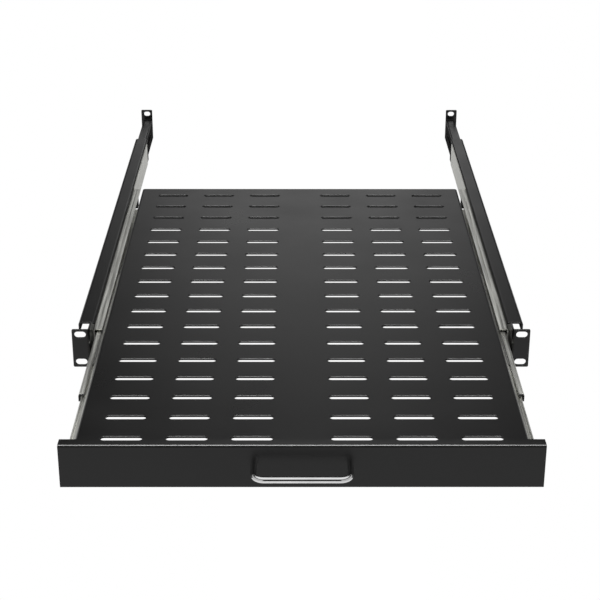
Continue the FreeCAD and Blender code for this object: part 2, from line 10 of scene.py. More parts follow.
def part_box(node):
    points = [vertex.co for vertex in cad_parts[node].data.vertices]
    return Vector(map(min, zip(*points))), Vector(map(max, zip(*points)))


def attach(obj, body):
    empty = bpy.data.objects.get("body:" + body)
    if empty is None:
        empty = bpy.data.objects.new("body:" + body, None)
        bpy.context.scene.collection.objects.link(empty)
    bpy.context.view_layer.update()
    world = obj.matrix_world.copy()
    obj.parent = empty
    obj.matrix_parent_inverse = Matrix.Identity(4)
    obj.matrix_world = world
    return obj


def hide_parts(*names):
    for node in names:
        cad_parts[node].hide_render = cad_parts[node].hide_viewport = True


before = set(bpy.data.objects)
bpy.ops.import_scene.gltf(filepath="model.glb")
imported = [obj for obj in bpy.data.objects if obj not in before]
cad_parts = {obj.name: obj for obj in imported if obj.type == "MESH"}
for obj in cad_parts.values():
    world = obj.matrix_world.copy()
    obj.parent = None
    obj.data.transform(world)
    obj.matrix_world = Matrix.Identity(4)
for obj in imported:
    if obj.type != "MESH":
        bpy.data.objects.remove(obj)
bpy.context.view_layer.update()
mm = 0.001  # pieces are sized in millimetres and put into the scene in metres
tiny = 1e-6

# camera, found from the slot rows of the deck in the 600 by 600 picture
camera = {
    "place": (-6.8, -1430, 694),
    "focalPixels": 1502.1,
    "framePixels": 600,
    "sensor": 36.0,
    "pitch": -24.075,
    "yaw": 0.225,
    "roll": 0.099,
    "farthest": 50,
}


def makeCamera():
    pitch, yaw, roll = (math.radians(camera[k]) for k in ("pitch", "yaw", "roll"))
    ahead = Vector((math.sin(yaw) * math.cos(pitch), math.cos(yaw) * math.cos(pitch), math.sin(pitch)))
    level = Vector((math.cos(yaw), -math.sin(yaw), 0))
    above = level.cross(ahead)
    right = math.cos(roll) * level + math.sin(roll) * above
    up = math.cos(roll) * above - math.sin(roll) * level
    lens = bpy.data.cameras.new("photoCamera")
    lens.sensor_width = camera["sensor"]
    lens.lens = camera["focalPixels"] / camera["framePixels"] * camera["sensor"]
    lens.clip_end = camera["farthest"]
    eye = bpy.data.objects.new("photoCamera", lens)
    bpy.context.collection.objects.link(eye)
    turn = Matrix((right, up, -ahead)).transposed().to_4x4()
    eye.matrix_world = Matrix.Translation(Vector(camera["place"]) * mm) @ turn
    bpy.context.scene.camera = eye
    print("camera ready, lens", round(lens.lens, 2), "mm")


# finishes
def newMaterial(name):
    mat = bpy.data.materials.new(name)
    mat.use_nodes = True
    return mat, mat.node_tree.nodes, mat.node_tree.links, mat.node_tree.nodes["Principled BSDF"]


# noise on the object's own coordinates, stretched by a Mapping node; scale is in spots per metre
def noiseOn(nodes, links, scale, detail=2.0, stretch=(1, 1, 1)):
    where = nodes.new("ShaderNodeTexCoord")
    fit = nodes.new("ShaderNodeMapping")
    fit.inputs["Scale"].default_value = stretch
    noise = nodes.new("ShaderNodeTexNoise")
    noise.inputs["Scale"].default_value = scale
    noise.inputs["Detail"].default_value = detail
    links.new(where.outputs["Object"], fit.inputs["Vector"])
    links.new(fit.outputs["Vector"], noise.inputs["Vector"])
    return noise.outputs["Fac"]


# the part of a noise's range that is spread over the whole range of a look
noiseSpan = (0.3, 0.7)


def spread(nodes, links, value, low, high, socket):
    ramp = nodes.new("ShaderNodeMapRange")
    ramp.inputs["From Min"].default_value = noiseSpan[0]
    ramp.inputs["From Max"].default_value = noiseSpan[1]
    ramp.inputs["To Min"].default_value = low
    ramp.inputs["To Max"].default_value = high
    links.new(value, ramp.inputs["Value"])
    links.new(ramp.outputs["Result"], socket)


def blendColours(nodes, links, value, dark, light, socket):
    ramp = nodes.new("ShaderNodeValToRGB")
    ramp.color_ramp.elements[0].position = noiseSpan[0]
    ramp.color_ramp.elements[0].color = (*dark, 1)
    ramp.color_ramp.elements[1].position = noiseSpan[1]
    ramp.color_ramp.elements[1].color = (*light, 1)
    links.new(value, ramp.inputs["Fac"])
    links.new(ramp.outputs["Color"], socket)


def bumpFrom(nodes, links, value, strength, depth, shader):
    bump = nodes.new("ShaderNodeBump")
    bump.inputs["Strength"].default_value = strength
    bump.inputs["Distance"].default_value = depth * mm
    links.new(value, bump.inputs["Height"])
    links.new(bump.outputs["Normal"], shader.inputs["Normal"])


# looks: grain and cloud are noises in spots per metre, gloss the range of the roughness, bump a strength and a depth
looks = {
    # fine orange peel, with a slow change of sheen over the sheet
    "powder_coat": {
        "name": "blackPowderCoat", "dark": (0.0014, 0.0014, 0.0014), "light": (0.0024, 0.0023, 0.0023),
        "specular": 0.45, "gloss": (0.27, 0.33), "grain": 1400, "detail": 3, "cloud": 14, "bump": (0.25, 0.02),
    },
    # rolling marks, drawn out along the slide
    "zinc_slide": {
        "name": "zincPlate", "dark": (0.58, 0.58, 0.545), "light": (0.80, 0.80, 0.755),
        "metallic": 1, "gloss": (0.32, 0.46), "grain": 420, "detail": 3, "drawnOut": (1, 0.03, 1),
        "bump": (0.15, 0.01),
    },
    "chrome": {
        "name": "chromePlate", "dark": (0.80, 0.80, 0.80), "light": (0.90, 0.90, 0.90),
        "metallic": 1, "gloss": (0.04, 0.09), "grain": 60,
    },
    "zinc_screw": {
        "name": "zincScrew", "dark": (0.52, 0.52, 0.50), "light": (0.66, 0.66, 0.63),
        "metallic": 1, "gloss": (0.25, 0.40), "grain": 700,
    },
    "cage_steel": {
        "name": "cageSteel", "dark": (0.34, 0.34, 0.34), "light": (0.46, 0.46, 0.45),
        "metallic": 1, "gloss": (0.30, 0.45), "grain": 500,
    },
    "ball_steel": {
        "name": "ballSteel", "dark": (0.60, 0.60, 0.61), "light": (0.72, 0.72, 0.73),
        "metallic": 1, "gloss": (0.06, 0.12), "grain": 300,
    },
    "rubber_stop": {
        "name": "rubberStop", "dark": (0.012, 0.012, 0.012), "light": (0.020, 0.020, 0.020),
        "gloss": (0.7, 0.85), "grain": 900, "detail": 3, "bump": (0.3, 0.05),
    },
}


def makeFinish(look):
    mat, nodes, links, shader = newMaterial(look["name"])
    grain = noiseOn(nodes, links, look["grain"], look.get("detail", 2), look.get("drawnOut", (1, 1, 1)))
    sheen = noiseOn(nodes, links, look["cloud"]) if "cloud" in look else grain
    blendColours(nodes, links, grain, look["dark"], look["light"], shader.inputs["Base Color"])
    spread(nodes, links, sheen, *look["gloss"], shader.inputs["Roughness"])
    if "bump" in look:
        bumpFrom(nodes, links, grain, *look["bump"], shader)
    for key, socket in (("metallic", "Metallic"), ("specular", "Specular IOR Level")):
        if key in look:
            shader.inputs[socket].default_value = look[key]
    return mat


finishes = {slotName: makeFinish(look) for slotName, look in looks.items()}
print("finishes ready:", ", ".join(finishes))


# meshes: every patch is a pair of arrays, points in millimetres and four corners for each face
def boxOf(node):
    lo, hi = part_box(node)
    return np.array(lo) / mm, np.array(hi) / mm


# the quads between neighbouring rows and columns of a grid of points
def gridQuads(rows, columns, closeRows=False, closeColumns=False):
    r = np.arange(rows if closeRows else rows - 1)[:, None]
    c = np.arange(columns if closeColumns else columns - 1)[None, :]
    nextR, nextC = (r + 1) % rows, (c + 1) % columns
    corners = np.broadcast_arrays(r * columns + c, r * columns + nextC, nextR * columns + nextC, nextR * columns + c)
    return np.stack(corners, -1).reshape(-1, 4)


def gridPatch(points, closeRows=False, closeColumns=False):
    rows, columns = points.shape[:2]
    return points.reshape(-1, 3), gridQuads(rows, columns, closeRows, closeColumns)


def mirrored(patch):
    points, quads = patch
    return points * (-1, 1, 1), quads[:, ::-1]


# joins patches at shared points; a wall that two patches share falls away with its twin
def weld(patches):
    starts = np.cumsum([0] + [len(points) for points, quads in patches])
    points = np.concatenate([points for points, quads in patches])
    quads = np.concatenate([quads + start for (points, quads), start in zip(patches, starts)])
    keys, inverse = np.unique(np.round(points, 4), axis=0, return_inverse=True)
    quads = inverse.ravel()[quads]
    back, count = np.unique(np.sort(quads, 1), axis=0, return_inverse=True, return_counts=True)[1:]
    quads = quads[count[back.ravel()] == 1]
    used, quads = np.unique(quads, return_inverse=True)
    return keys[used], quads.reshape(-1, 4)


sharpAngle = math.radians(42)  # edges that turn by more than this are sharp, and are the ones softened


def makePiece(name, patches, slotName, body, nodes, soften=0.0, segments=3):
    points, quads = weld(patches)
    mesh = bpy.data.meshes.new(name)
    faces = [list(dict.fromkeys(quad)) for quad in quads.tolist()]
    mesh.from_pydata((points * mm).tolist(), [], [face for face in faces if len(face) > 2])
    tidy = bmesh.new()
    tidy.from_mesh(mesh)
    bmesh.ops.recalc_face_normals(tidy, faces=tidy.faces)
    tidy.to_mesh(mesh)
    tidy.free()
    mesh.polygons.foreach_set("use_smooth", [True] * len(mesh.polygons))
    mesh.set_sharp_from_angle(angle=sharpAngle)
    piece = bpy.data.objects.new(name, mesh)
    bpy.context.collection.objects.link(piece)
    if soften:
        bevel = piece.modifiers.new("softEdges", "BEVEL")
        bevel.width = soften * mm
        bevel.segments = segments
        bevel.limit_method = "ANGLE"
        bevel.angle_limit = sharpAngle
        bevel.harden_normals = True
    mesh.materials.append(finishes[slotName])
    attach(piece, body)
    if nodes:
        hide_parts(*nodes)
    return piece


# an open line through the corners with round bends: the outer points and the normals into the sheet.
# A bend of radius R about a corner runs from R before it to R after it, as all the bends are square.
# A guard point close to each end of a bend keeps the shading of the flats flat.
guard = 0.15


def bentLine(corners, radius, side, steps=6):
    corners = np.array(corners, float)
    runs = np.diff(corners, axis=0)
    heads = runs / np.linalg.norm(runs, axis=1)[:, None]
    inward = side * np.stack([-heads[:, 1], heads[:, 0]], 1)
    turn = np.linspace(0, math.pi / 2, steps + 1)[:, None]
    points, normals = [corners[:1]], [inward[:1]]
    for k in range(1, len(corners) - 1):
        centre = corners[k] - radius * heads[k - 1] + radius * inward[k - 1]
        normal = np.cos(turn) * inward[k - 1] - np.sin(turn) * heads[k - 1]
        before = corners[k] - (radius + guard) * heads[k - 1]
        after = corners[k] + (radius + guard) * heads[k]
        points += [before[None], centre - radius * normal, after[None]]
        normals += [normal[:1], normal, normal[-1:]]
    points.append(corners[-1:])
    normals.append(inward[-1:])
    return np.concatenate(points), np.concatenate(normals)


# a sheet: the bent line carried along a straight run, as thick as the wall.
# present says which cells of the grid are there, and each slot is a block of cells with a round-ended hole:
# the block's border is drawn in to the nearest point of the hole's outline.
# With a roll, the outer rim of a slot is rounded by that radius, as a punch leaves it, and a low lip stands on the
# inner one. A ring a little outside the roll keeps the sheet's shading flat.
rimSteps = 6
rimGuard = 1.15    # of the roll


def sheetPatches(line, normals, along, wall, toSpace, present=None, slots=(), roll=0.0, lip=0.0):
    rows, columns = len(line), len(along)
    filled = np.ones((rows - 1, columns - 1), bool) if present is None else present.copy()
    faces = [line + depth * normals for depth in (0, wall)]
    grids = [toSpace(face[:, None, 0], face[:, None, 1], np.asarray(along, float)[None, :]) for face in faces]
    points = [np.stack(np.broadcast_arrays(*grid), -1).reshape(-1, 3) for grid in grids]
    size = rows * columns
    plain = filled.copy()
    for (i0, i1), (j0, j1), length, width, lengthwise in slots:
        plain[i0:i1, j0:j1] = False
    quads = gridQuads(rows, columns)[plain.ravel()]
    patches = [(points[0], quads), (points[1], quads)]
    # walls stand where a filled cell meets an empty one
    padded = np.pad(filled, 1)
    i, j = np.nonzero(padded[1:, 1:-1] != padded[:-1, 1:-1])
    across = np.stack([i * columns + j, i * columns + j + 1], 1)
    m, n = np.nonzero(padded[1:-1, 1:] != padded[1:-1, :-1])
    down = np.stack([m * columns + n, (m + 1) * columns + n], 1)
    edges = np.concatenate([across, down])
    walls = np.concatenate([edges, edges[:, ::-1] + size], 1)
    patches.append((np.concatenate(points), walls))
    for (i0, i1), (j0, j1), length, width, lengthwise in slots:
        loopI = np.concatenate([np.arange(i0, i1), np.full(j1 - j0, i1), np.arange(i1, i0, -1), np.full(j1 - j0, i0)])
        loopJ = np.concatenate([np.full(i1 - i0, j0), np.arange(j0, j1), np.full(i1 - i0, j1), np.arange(j1, j0, -1)])
        heading = (line[i1] - line[i0]) / np.linalg.norm(line[i1] - line[i0])
        p = (line[loopI] - (line[i0] + line[i1]) / 2) @ heading
        q = along[loopJ] - slotMiddle(along, j0, j1)
        long, short = (p, q) if lengthwise else (q, p)
        core = np.clip(long, -(length - width) / 2, (length - width) / 2)
        turn = np.linspace(0, math.pi / 2, rimSteps if roll else 1)
        wider = np.concatenate([[rimGuard * roll] if roll else [], roll * (1 - np.sin(turn)), [0],
                                [lip] if lip else []])
        depths = np.concatenate([[0] if roll else [], roll * (1 - np.cos(turn)), [wall + lip],
                                 [wall] if lip else []])
        rings = [points[0][loopI * columns + loopJ]]
        for extra, depth in zip(wider, depths):
            reach = (width / 2 + extra) / np.hypot(long - core, short)
            rimLong, rimShort = core + (long - core) * reach, short * reach
            p, q = (rimLong, rimShort) if lengthwise else (rimShort, rimLong)
            rim = (line[i0] + line[i1]) / 2 + p[:, None] * heading + depth * normals[i0]
            rings.append(np.stack(toSpace(rim[:, 0], rim[:, 1], q + slotMiddle(along, j0, j1)), -1))
        rings.append(points[1][loopI * columns + loopJ])
        patches.append(gridPatch(np.stack(rings), closeColumns=True))
    return patches


# the middle station of a block, where the slot's own middle lies
def slotMiddle(along, j0, j1):
    return along[(j0 + j1) // 2]


def carriedAlongY(across, up, along):
    return across, along, up


def carriedAlongX(depth, up, along):
    return along, depth, up


def carriedAlongZ(across, depth, along):
    return across, depth, along


# a round solid: the profile gives radius and distance along the axis, from one end to the other
def turnedPatch(profile, centre, axis, steps=40):
    radius, reach = np.array(profile, float).T
    angle = np.linspace(0, 2 * math.pi, steps, endpoint=False)
    ring = radius[:, None] * np.cos(angle), radius[:, None] * np.sin(angle)
    length = np.broadcast_to(reach[:, None], ring[0].shape)
    parts = {"x": (length, ring[0], ring[1]), "y": (ring[0], length, ring[1])}[axis]
    return gridPatch(np.stack(parts, -1) + np.array(centre, float), closeColumns=True)


# tray: flat blank with the slot rows, its sides, front and rear folded down
tray = {
    "wall": 1.5,
    "bend": 2.5,              # outer radius
    "returnDepth": 12.0,      # the front strip that is as wide as the panel
    "flangeDrop": 43.0,
    "frontRise": 0.23,        # the folding has drawn the deck up a little towards the panel
    "riseDepth": 10.0,
    "slotRoll": 0.7,
    "slotLip": 0.45,
    "rows": 17,
    "rowFront": 13.8,
    "rowBack": 28.2,
    "columnPitch": 59.5,
    "slotLength": 38.2,
    "slotWidth": 6.8,
    "slotEdge": 22.9,         # from the slots' outer ends to the side of the deck
    "besideSlot": (1.0, 0.8, 0.65, 0.53, 0.17),  # stations across a column, of half its pitch
    "besideRow": (1.0, 0.7, 0.4),                # stations along a row's band, of half its depth
    "softEdge": 0.35,
}


def makeTray():
    lo, hi = boxOf("tray")
    deckHalf = boxOf("right_inner_member")[0][0]
    top, bend, wall = hi[2], tray["bend"], tray["wall"]
    foot = top - tray["flangeDrop"]
    halfPitch = tray["columnPitch"] / 2
    outerColumn = deckHalf - tray["slotEdge"] - tray["slotLength"] / 2
    columns = outerColumn - tray["columnPitch"] * np.arange(2, -1, -1)
    columns = np.concatenate([-columns[::-1], columns])
    shares = np.array(tray["besideSlot"])
    shares = np.concatenate([-shares, shares[::-1]])
    flatHalf = deckHalf - bend
    edges = np.array([flatHalf - guard, flatHalf])
    xs = np.unique(np.round(np.concatenate([(columns[:, None] + halfPitch * shares).ravel(), -edges, edges]), 6))
    # rows of slots, each in a band from half way to the row before to half way to the row behind
    rows = np.linspace(lo[1] + tray["rowFront"], hi[1] - tray["rowBack"], tray["rows"])
    halfRow = (rows[1] - rows[0]) / 2
    front, back = rows - halfRow, rows + halfRow
    front[0] = lo[1] + bend + guard
    returnEnd = lo[1] + tray["returnDepth"]
    near = (rows[0] - returnEnd) / (rows[0] - front[0])
    parts = np.array([*tray["besideRow"], near])
    ys = np.concatenate([rows[:, None] - (rows - front)[:, None] * parts, rows[:, None],
                         rows[:, None] + (back - rows)[:, None] * parts[::-1]], 1)
    ends = [lo[1] + bend, hi[1] - bend - guard, hi[1] - bend]
    ys = np.unique(np.round(np.append(ys.ravel(), ends), 6))
    flat = np.stack([xs, np.full(len(xs), top)], 1)
    down = np.tile([0.0, -1.0], (len(xs), 1))
    side, sideIn = bentLine([(flatHalf, top), (deckHalf, top), (deckHalf, foot)], bend, -1)
    side, sideIn = side[2:], sideIn[2:]
    line = np.concatenate([side[::-1] * (-1, 1), flat[1:-1], side])
    normals = np.concatenate([sideIn[::-1] * (-1, 1), down[1:-1], sideIn])
    first = len(side) - 1
    present = np.ones((len(line) - 1, len(ys) - 1), bool)
    ahead = ys[:-1] < returnEnd - tiny
    present[:first, ahead] = False
    present[len(line) - 1 - first:, ahead] = False
    slots = []
    for x in columns:
        i0 = int(np.argmin(abs(line[:, 0] - (x - halfPitch))))
        i1 = int(np.argmin(abs(line[:, 0] - (x + halfPitch))))
        for y0, y1 in zip(front, back):
            j0, j1 = (int(np.argmin(abs(ys - y))) for y in (y0, y1))
            slots.append(((i0, i1), (j0, j1), tray["slotLength"], tray["slotWidth"], True))
    patches = sheetPatches(line, normals, ys, wall, carriedAlongY, present, slots, tray["slotRoll"],
                           tray["slotLip"])
    # front panel and rear flange are folded about lines across the deck
    panelHalf = hi[0]
    wide = np.array([flatHalf, (flatHalf + panelHalf) / 2, panelHalf])
    panelXs = np.concatenate([-wide[::-1], xs[1:-1], wide])
    panel, panelIn = bentLine([(lo[1] + bend, top), (lo[1], top), (lo[1], lo[2])], bend, 1)
    patches += sheetPatches(panel[2:], panelIn[2:], panelXs, wall, carriedAlongX)
    rear, rearIn = bentLine([(hi[1] - bend, top), (hi[1], top), (hi[1], foot)], bend, -1)
    patches += sheetPatches(rear[2:], rearIn[2:], xs, wall, carriedAlongX)
    tabYs = ys[ys < returnEnd + tiny]
    for sign in (-1, 1):
        tab = np.stack([sign * wide, np.full(3, top)], 1)
        patches += sheetPatches(tab, np.tile([0.0, -1.0], (3, 1)), tabYs, wall, carriedAlongY)
    # behind the front bend the deck sinks by the rise, along a parabola that ends level
    for points, quads in patches:
        left = 1 - np.clip((points[:, 1] - lo[1] - bend) / tray["riseDepth"], 0, 1)
        points[:, 2] -= tray["frontRise"] * (1 - left ** 2)
    piece = makePiece("perforatedTray", patches, "powder_coat", "shelf", ["tray"], tray["softEdge"])
    print("tray:", len(rows) * len(columns), "slots,", len(piece.data.polygons), "faces")


makeTray()


# stations about a hole's middle: the straight of the hole, if it has one, then three steps out from it
def aboutHole(middle, core, reach):
    steps = np.concatenate([[0, core], core + reach * np.array([1, 2, 3]) / 3])
    return middle + np.unique(np.concatenate([-steps, steps]))


def stations(*groups):
    return np.unique(np.round(np.concatenate([np.ravel(group) for group in groups]), 5))


# the block of cells that a hole is cut in, from two points of the line and two stations along it
def holeBlock(line, along, before, after, start, end, length, width, lengthwise=False):
    i0, i1 = (int(np.argmin(np.hypot(*(line - np.array(spot)).T))) for spot in (before, after))
    j0, j1 = (int(np.argmin(abs(along - place))) for place in (start, end))
    return (min(i0, i1), max(i0, i1)), (j0, j1), length, width, lengthwise


# the same piece on both sides; names and bodies of the right-hand one are turned to the left
def makePair(name, patches, slotName, body, nodes, soften=0.0, segments=3):
    for side in ("right", "left"):
        sided = patches if side == "right" else [mirrored(patch) for patch in patches]
        ownNodes = [node.replace("right", side) for node in nodes]
        makePiece(side + name, sided, slotName, body.replace("right", side), ownNodes, soften, segments)
    print(name, "on both sides")


# rails: folded sheet with a flange, a web and an ear across its end
rail = {
    "wall": 2.0,
    "bend": 3.0,              # outer radius
    "flangeReach": 18.0,
    "lipDrop": 10.0,
    "flangeStart": 41.0,      # the front flange begins this far behind the ear
    "frontRelief": 14.5,      # here the front web starts to slope down from the ear's height
    "rearRelief": 2.0,        # the rear web has the ear's height only this close to the ear
    "rearGap": 4.0,
    "earInset": 8.75,         # from the ear's edge to the middle of its slots
    "slotUp": 15.875,
    "slotWidth": 7.0,
    "frontSlot": 12.2,
    "rearSlot": 9.6,
    "slotRoom": 4.4,          # half height of the cells about a slot
    "slotReach": 7.15,        # and half their length
    "earCorner": 1.5,
    "cornerSteps": 4,
    "rivets": 3,
    "rivetInset": 4.0,        # from the end of the rivets' box to the middle of a rivet
    "studInset": 2.5,
    "studForward": 60.0,      # how far the studs slide in the rear bracket's slot
    "studBack": 100.0,
    "rivetHole": 4.2,
    "studHole": 5.2,
    "holeRoom": 3.6,
    "nest": 0.3,
    "nestSide": 1.0,
    "softEdge": 0.3,
}


def roundEar(patch, edge, top):
    points, quads = patch
    r = rail["earCorner"]
    u = (points[:, 0] - edge + r) / r
    v = (abs(points[:, 2]) - top + r) / r
    near = (u > 0) & (v > 0)
    pull = np.maximum(u, v)[near] / np.hypot(u, v)[near]
    points = points.copy()
    points[near, 0] = edge - r + r * u[near] * pull
    points[near, 2] = np.sign(points[near, 2]) * (top - r + r * v[near] * pull)
    return points, quads


# the ear with its bend and the web behind it, carried up the height of the rail.
# Between the free end and the relief, the web over its own top is left out.
def earPatches(face, edge, free, relief, seat, ups, webTop, slotLength):
    bend, wall = rail["bend"], rail["wall"]
    top = ups[-1]
    middle = edge - rail["earInset"]
    core = (slotLength - rail["slotWidth"]) / 2
    reach = min(rail["slotReach"] - core, middle - core - face - bend - 2 * guard)
    line, normals = bentLine([(face, free), (face, seat), (edge, seat)], bend, 1 if seat < free else -1)
    corner = edge - rail["earCorner"] + np.linspace(0, rail["earCorner"], rail["cornerSteps"])
    xs = stations(aboutHole(middle, core, reach), corner)
    line = np.concatenate([line[:1], [(face, relief)], line[1:-1], np.stack([xs, np.full(len(xs), seat)], 1)])
    normals = np.concatenate([normals[:1], normals[:-1], np.tile(normals[-1], (len(xs), 1))])
    present = np.ones((len(line) - 1, len(ups) - 1), bool)
    present[0, ups[:-1] > webTop - tiny] = False
    half = core + reach
    slots = [holeBlock(line, ups, (middle - half, seat), (middle + half, seat), z - rail["slotRoom"],
                       z + rail["slotRoom"], slotLength, rail["slotWidth"], True)
             for z in (-rail["slotUp"], rail["slotUp"])]
    patches = sheetPatches(line, normals, ups, wall, carriedAlongZ, present, slots)
    return [roundEar(patch, edge, top) for patch in patches]


# the front web slopes: its points over the low level sink in proportion to their way from the relief to the free end
def slopeWeb(patch, relief, free, low):
    points, quads = patch
    share = np.clip((points[:, 1] - relief) / (free - relief), 0, 1)
    sunk = np.where(points[:, 2] > low, low + (points[:, 2] - low) * (1 - share), points[:, 2])
    onWeb = points[:, 1] <= free + tiny
    return np.stack([points[:, 0], points[:, 1], np.where(onWeb, sunk, points[:, 2])], 1), quads


# the web up to the bend is given by its own stations, the rest of the section by the bent line
def railSection(corners, webUps):
    line, normals = bentLine(corners, rail["bend"], -1)
    web = np.stack([np.full(len(webUps), corners[0][0]), webUps], 1)
    return np.concatenate([web, line[1:]]), np.concatenate([np.tile(normals[0], (len(web), 1)), normals[1:]])


# stations up an ear, and those of them that the web behind it shares
def earUps(top, webTop, middle):
    r, room = rail["earCorner"], rail["slotRoom"]
    corner = top - r + np.linspace(0, r, rail["cornerSteps"])
    ups = stations(corner, -corner, aboutHole(rail["slotUp"], 0, room), aboutHole(-rail["slotUp"], 0, room),
                   aboutHole(middle, 0, rail["holeRoom"]), [webTop])
    return ups, ups[ups < webTop - tiny]


def makeFrontBrackets():
    lo, hi = boxOf("right_front_bracket")
    slideLo, slideHi = boxOf("right_outer_cage")
    middle = (slideLo[2] + slideHi[2]) / 2
    flangeTop = boxOf("right_outer_member")[1][2]
    edge = lo[0] + rail["flangeReach"]
    webTop = flangeTop - rail["bend"]
    ups, webUps = earUps(hi[2], webTop, middle)
    line, normals = railSection([(lo[0], lo[2]), (lo[0], flangeTop), (edge, flangeTop),
                                 (edge, flangeTop - rail["lipDrop"])], webUps)
    rivetLo, rivetHi = boxOf("right_outer_rivets")
    studLo, studHi = boxOf("right_adjust_studs")
    rivets = np.linspace(rivetLo[1] + rail["rivetInset"], rivetHi[1] - rail["rivetInset"], rail["rivets"])
    studs = np.array([studLo[1] + rail["studInset"], studHi[1] - rail["studInset"]])
    room = rail["holeRoom"]
    holes = [(y, rail["rivetHole"]) for y in rivets] + [(y, rail["studHole"]) for y in studs]
    ys = stations([rail["flangeStart"], hi[1]], *[aboutHole(y, 0, room) for y, width in holes])
    slots = [holeBlock(line, ys, (lo[0], middle - room), (lo[0], middle + room), y - room, y + room, width, width)
             for y, width in holes]
    patches = sheetPatches(line, normals, ys, rail["wall"], carriedAlongY, None, slots)
    free, relief = rail["flangeStart"], rail["frontRelief"]
    ear = earPatches(lo[0], hi[0], free, relief, lo[1], ups, hi[2], rail["frontSlot"])
    patches += [slopeWeb(patch, relief, free, webTop) for patch in ear]
    makePair("FrontBracket", patches, "powder_coat", "rails", ["right_front_bracket"], rail["softEdge"])
    return middle, rivets, studs


slideMiddle, rivetPlaces, studPlaces = makeFrontBrackets()


def makeRearBrackets():
    lo, hi = boxOf("right_rear_bracket")
    flangeTop = boxOf("right_outer_member")[1][2] - rail["wall"] - rail["nest"]
    edge = boxOf("right_front_bracket")[0][0] + rail["flangeReach"] - rail["wall"] - rail["nestSide"]
    webTop = flangeTop - rail["bend"]
    ups, webUps = earUps(hi[2], webTop, slideMiddle)
    line, normals = railSection([(lo[0], lo[2]), (lo[0], flangeTop), (edge, flangeTop)], webUps)
    flangeEnd = hi[1] - rail["wall"] - rail["rearGap"]
    start, end = studPlaces[0] - rail["studForward"], studPlaces[1] + rail["studBack"]
    core, room = (end - start) / 2, rail["holeRoom"]
    ys = stations([lo[1], flangeEnd], aboutHole((start + end) / 2, core, room))
    slot = holeBlock(line, ys, (lo[0], slideMiddle - room), (lo[0], slideMiddle + room), start - room, end + room,
                     end - start + rail["studHole"], rail["studHole"])
    patches = sheetPatches(line, normals, ys, rail["wall"], carriedAlongY, None, [slot])
    relief = hi[1] - rail["wall"] - rail["rearRelief"]
    patches += earPatches(lo[0], hi[0], flangeEnd, relief, hi[1], ups, webTop, rail["rearSlot"])
    makePair("RearBracket", patches, "powder_coat", "right_rear", ["right_rear_bracket"], rail["softEdge"])


makeRearBrackets()

# ball slides: three channels, each with a groove or a rolled bulge where the balls run
slide = {
    "wall": 1.2,
    "bend": 1.8,              # outer radius
    "length": 440.0,
    "lipSteps": 21,
    "raceSink": 0.28,
    "racePlace": 1.5,         # from the lip's tip, as the other places are
    "raceWidth": 0.8,
    "outerPlace": 5.0,
    "outerWidth": 0.55,
    "outerRoll": 1.3,         # the outer member's lip is rolled down this close to its tip
    "innerSink": 1.10,        # the inner member's race is the deepest
    "innerPlace": 2.1,
    "innerWidth": 0.62,
    "screws": 3,
    "screwInset": 3.5,        # from the end of the screws' box to the middle of a screw
    "hole": 4.2,
    "holeRoom": 3.6,
    "notchLength": 12.0,
    "notchHalf": 3.6,
    "softEdge": 0.22,
}


# a groove across a lip is a bell curve about its place, 1 deep
def groove(s, place, width):
    return np.exp(-((s - place) / width) ** 2)


# how far the lip lies under its full height, from the distance to its tip
def rolledLip(s):
    rolled = np.clip(1 - s / slide["outerRoll"], 0, 1) ** 2
    return slide["raceSink"] * (groove(s, slide["outerPlace"], slide["outerWidth"]) + rolled)


def groovedLip(s):
    return slide["raceSink"] * groove(s, slide["racePlace"], slide["raceWidth"])


def deepLip(s):
    return np.maximum(groovedLip(s), slide["innerSink"] * groove(s, slide["innerPlace"], slide["innerWidth"]))


# the section of a slide from the tip of its upper lip round its web to the tip of the lower one
def slideSection(back, tip, top, foot, sink, ups):
    toBack = math.copysign(1, back - tip)
    line, normals = bentLine([(tip, top), (back, top), (back, foot), (tip, foot)], slide["bend"], -toBack)
    s = np.linspace(0, abs(back - tip) - slide["bend"], slide["lipSteps"])[:-1]
    upper = np.stack([tip + toBack * s, top - sink(s)], 1)
    lower = np.stack([tip + toBack * s, foot + sink(s)], 1)[::-1]
    bends = np.split(line[1:-1], 2)
    turns = np.split(normals[1:-1], 2)
    web = np.stack([np.full(len(ups), back), ups[::-1]], 1)
    section = np.concatenate([upper, bends[0], web, bends[1], lower])
    inward = np.concatenate([np.tile(normals[0], (len(s), 1)), turns[0], np.tile(turns[0][-1], (len(ups), 1)),
                             turns[1], np.tile(normals[-1], (len(s), 1))])
    return section, inward


def slideHoles(line, ys, back, places):
    room = slide["holeRoom"]
    return [holeBlock(line, ys, (back, slideMiddle - room), (back, slideMiddle + room), y - room, y + room,
                      slide["hole"], slide["hole"]) for y in places]


# a channel is one rolled piece here and three solids in the model: its web and its two lips
def channelNodes(which):
    return ["right_%s_%s" % (which, part) for part in ("member", "upper_lip", "lower_lip")]


def makeOuterMembers():
    lo, hi = boxOf("right_outer_member")
    tip, front, foot = boxOf("right_outer_lower_lip")[0]
    top = boxOf("right_outer_upper_lip")[1][2]
    end = front + slide["length"]
    ups = aboutHole(slideMiddle, 0, slide["holeRoom"])
    line, normals = slideSection(hi[0], tip, top, foot, rolledLip, ups)
    ys = stations([front, end], *[aboutHole(y, 0, slide["holeRoom"]) for y in rivetPlaces])
    holes = slideHoles(line, ys, hi[0], rivetPlaces)
    patches = sheetPatches(line, normals, ys, slide["wall"], carriedAlongY, None, holes)
    # flat tail behind the channel
    zs = stations([lo[2], foot + slide["bend"], top - slide["bend"], hi[2]], ups)
    tail = np.stack([np.full(len(zs), hi[0]), zs], 1)
    inward = np.tile([-1.0, 0.0], (len(zs), 1))
    patches += sheetPatches(tail, inward, np.array([end, hi[1]]), slide["wall"], carriedAlongY)
    makePair("OuterMember", patches, "zinc_slide", "rails", channelNodes("outer"), slide["softEdge"])


